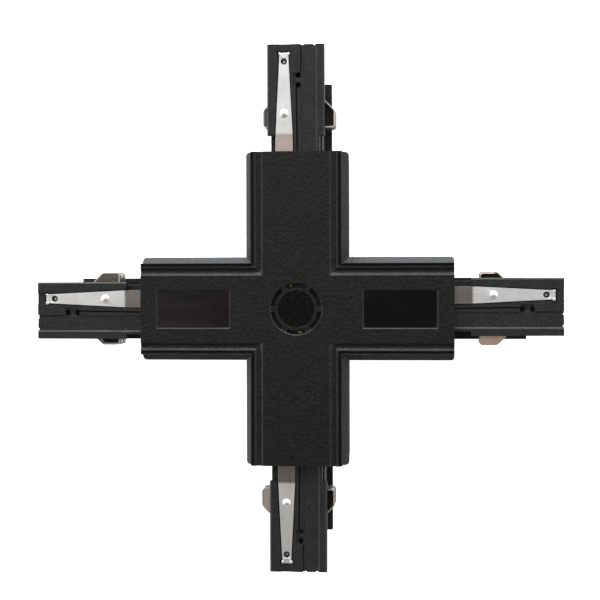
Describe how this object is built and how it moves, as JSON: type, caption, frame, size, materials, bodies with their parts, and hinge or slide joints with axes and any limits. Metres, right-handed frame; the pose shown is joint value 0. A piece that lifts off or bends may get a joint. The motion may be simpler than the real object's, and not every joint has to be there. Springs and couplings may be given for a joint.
{
  "type": "track lighting cross connector",
  "caption": "Black cross-shaped connector for three-circuit lighting track, with sprung live contacts, earth leaves, busbars, terminals and a cable knock-out.",
  "frame": {"origin": "centre of the room side's flat face, on the vertical axis through the cable knock-out", "axes": "+Z towards the ceiling side, +X and +Y along two of the arms; the earth leaves of the X arms are on their +Y side"},
  "size_m": [0.1856, 0.1856, 0.0325],
  "materials": {
    "housing_plastic": "fine spark-eroded matt black",
    "inner_plastic": "plain matt dark grey",
    "insert_plastic": "satin black",
    "label_gloss": "smooth blank black label",
    "insulator_plastic": "plain black",
    "screw_steel": "zinc plated",
    "pin_steel": "bright",
    "leaf_tin": "tin plated spring strip, lightly brushed",
    "contact_copper": "tin plated copper with a rosy tone where it is bare",
    "busbar_copper": "plain copper strip",
    "clamp_brass": "turned and sawn brass"
  },
  "bodies": {
    "connector": {"ceiling_housing": "housing_plastic", "room_cover": "housing_plastic", "base_frame": "inner_plastic", "housing_screws": "screw_steel", "label_plates": "label_gloss", "insert_carrier_right": "insert_plastic", "insert_carrier_top": "insert_plastic", "insert_carrier_left": "insert_plastic", "insert_carrier_bottom": "insert_plastic", "insert_foot_right": "insert_plastic", "insert_foot_top": "insert_plastic", "insert_foot_left": "insert_plastic", "insert_foot_bottom": "insert_plastic", "leaf_pin_right": "pin_steel", "leaf_pin_top": "pin_steel", "leaf_pin_left": "pin_steel", "leaf_pin_bottom": "pin_steel", "busbar_line_1": "busbar_copper", "busbar_neutral": "busbar_copper", "busbar_line_2": "busbar_copper", "busbar_line_3": "busbar_copper", "busbar_earth": "clamp_brass", "knockout_guard": "inner_plastic", "insulator_top": "insulator_plastic", "insulator_2": "insulator_plastic", "insulator_3": "insulator_plastic", "insulator_4": "insulator_plastic", "insulator_bottom": "insulator_plastic", "terminal_block": "inner_plastic", "terminal_clamps": "clamp_brass", "terminal_screws": "screw_steel"},
    "earth_leaf_right": {"earth_leaf_right": "leaf_tin"},
    "contact_right_a_upper": {"contact_right_a_upper": "contact_copper"},
    "contact_right_a_lower": {"contact_right_a_lower": "contact_copper"},
    "contact_right_b_upper": {"contact_right_b_upper": "contact_copper"},
    "contact_right_b_lower": {"contact_right_b_lower": "contact_copper"},
    "earth_leaf_top": {"earth_leaf_top": "leaf_tin"},
    "contact_top_a_upper": {"contact_top_a_upper": "contact_copper"},
    "contact_top_a_lower": {"contact_top_a_lower": "contact_copper"},
    "contact_top_b_upper": {"contact_top_b_upper": "contact_copper"},
    "contact_top_b_lower": {"contact_top_b_lower": "contact_copper"},
    "earth_leaf_left": {"earth_leaf_left": "leaf_tin"},
    "contact_left_a_upper": {"contact_left_a_upper": "contact_copper"},
    "contact_left_a_lower": {"contact_left_a_lower": "contact_copper"},
    "contact_left_b_upper": {"contact_left_b_upper": "contact_copper"},
    "contact_left_b_lower": {"contact_left_b_lower": "contact_copper"},
    "earth_leaf_bottom": {"earth_leaf_bottom": "leaf_tin"},
    "contact_bottom_a_upper": {"contact_bottom_a_upper": "contact_copper"},
    "contact_bottom_a_lower": {"contact_bottom_a_lower": "contact_copper"},
    "contact_bottom_b_upper": {"contact_bottom_b_upper": "contact_copper"},
    "contact_bottom_b_lower": {"contact_bottom_b_lower": "contact_copper"}
  },
  "joints": [
    {"name": "press_leaf_right", "type": "hinge", "parent": "connector", "child": "earth_leaf_right", "pos_m": [0.046, 0.00475, 0.02825], "axis": [0, 1, 0], "range_deg": [0, 2], "stiffness_Nm_per_rad": 0.3},
    {"name": "press_contact_right_a_upper", "type": "hinge", "parent": "connector", "child": "contact_right_a_upper", "pos_m": [0.0778, 0.0074, 0.024], "axis": [0, 0, 1], "range_deg": [0, 8], "stiffness_Nm_per_rad": 0.2},
    {"name": "press_contact_right_a_lower", "type": "hinge", "parent": "connector", "child": "contact_right_a_lower", "pos_m": [0.0778, 0.0074, 0.0174], "axis": [0, 0, 1], "range_deg": [0, 8], "stiffness_Nm_per_rad": 0.2},
    {"name": "press_contact_right_b_upper", "type": "hinge", "parent": "connector", "child": "contact_right_b_upper", "pos_m": [0.0778, -0.0074, 0.024], "axis": [0, 0, -1], "range_deg": [0, 8], "stiffness_Nm_per_rad": 0.2},
    {"name": "press_contact_right_b_lower", "type": "hinge", "parent": "connector", "child": "contact_right_b_lower", "pos_m": [0.0778, -0.0074, 0.0174], "axis": [0, 0, -1], "range_deg": [0, 8], "stiffness_Nm_per_rad": 0.2},
    {"name": "press_leaf_top", "type": "hinge", "parent": "connector", "child": "earth_leaf_top", "pos_m": [-0.00445, 0.046, 0.02825], "axis": [-1, 0, 0], "range_deg": [0, 2], "stiffness_Nm_per_rad": 0.3},
    {"name": "press_contact_top_a_upper", "type": "hinge", "parent": "connector", "child": "contact_top_a_upper", "pos_m": [-0.0074, 0.0778, 0.024], "axis": [0, 0, 1], "range_deg": [0, 8], "stiffness_Nm_per_rad": 0.2},
    {"name": "press_contact_top_a_lower", "type": "hinge", "parent": "connector", "child": "contact_top_a_lower", "pos_m": [-0.0074, 0.0778, 0.0174], "axis": [0, 0, 1], "range_deg": [0, 8], "stiffness_Nm_per_rad": 0.2},
    {"name": "press_contact_top_b_upper", "type": "hinge", "parent": "connector", "child": "contact_top_b_upper", "pos_m": [0.0074, 0.0778, 0.024], "axis": [0, 0, -1], "range_deg": [0, 8], "stiffness_Nm_per_rad": 0.2},
    {"name": "press_contact_top_b_lower", "type": "hinge", "parent": "connector", "child": "contact_top_b_lower", "pos_m": [0.0074, 0.0778, 0.0174], "axis": [0, 0, -1], "range_deg": [0, 8], "stiffness_Nm_per_rad": 0.2},
    {"name": "press_leaf_left", "type": "hinge", "parent": "connector", "child": "earth_leaf_left", "pos_m": [-0.046, 0.00355, 0.02825], "axis": [0, -1, 0], "range_deg": [0, 2], "stiffness_Nm_per_rad": 0.3},
    {"name": "press_contact_left_a_upper", "type": "hinge", "parent": "connector", "child": "contact_left_a_upper", "pos_m": [-0.0778, 0.0074, 0.024], "axis": [0, 0, -1], "range_deg": [0, 8], "stiffness_Nm_per_rad": 0.2},
    {"name": "press_contact_left_a_lower", "type": "hinge", "parent": "connector", "child": "contact_left_a_lower", "pos_m": [-0.0778, 0.0074, 0.0174], "axis": [0, 0, -1], "range_deg": [0, 8], "stiffness_Nm_per_rad": 0.2},
    {"name": "press_contact_left_b_upper", "type": "hinge", "parent": "connector", "child": "contact_left_b_upper", "pos_m": [-0.0778, -0.0074, 0.024], "axis": [0, 0, 1], "range_deg": [0, 8], "stiffness_Nm_per_rad": 0.2},
    {"name": "press_contact_left_b_lower", "type": "hinge", "parent": "connector", "child": "contact_left_b_lower", "pos_m": [-0.0778, -0.0074, 0.0174], "axis": [0, 0, 1], "range_deg": [0, 8], "stiffness_Nm_per_rad": 0.2},
    {"name": "press_leaf_bottom", "type": "hinge", "parent": "connector", "child": "earth_leaf_bottom", "pos_m": [-0.00385, -0.046, 0.02825], "axis": [1, 0, 0], "range_deg": [0, 2], "stiffness_Nm_per_rad": 0.3},
    {"name": "press_contact_bottom_a_upper", "type": "hinge", "parent": "connector", "child": "contact_bottom_a_upper", "pos_m": [-0.0074, -0.0778, 0.024], "axis": [0, 0, -1], "range_deg": [0, 8], "stiffness_Nm_per_rad": 0.2},
    {"name": "press_contact_bottom_a_lower", "type": "hinge", "parent": "connector", "child": "contact_bottom_a_lower", "pos_m": [-0.0074, -0.0778, 0.0174], "axis": [0, 0, -1], "range_deg": [0, 8], "stiffness_Nm_per_rad": 0.2},
    {"name": "press_contact_bottom_b_upper", "type": "hinge", "parent": "connector", "child": "contact_bottom_b_upper", "pos_m": [0.0074, -0.0778, 0.024], "axis": [0, 0, 1], "range_deg": [0, 8], "stiffness_Nm_per_rad": 0.2},
    {"name": "press_contact_bottom_b_lower", "type": "hinge", "parent": "connector", "child": "contact_bottom_b_lower", "pos_m": [0.0074, -0.0778, 0.0174], "axis": [0, 0, 1], "range_deg": [0, 8], "stiffness_Nm_per_rad": 0.2}
  ]
}
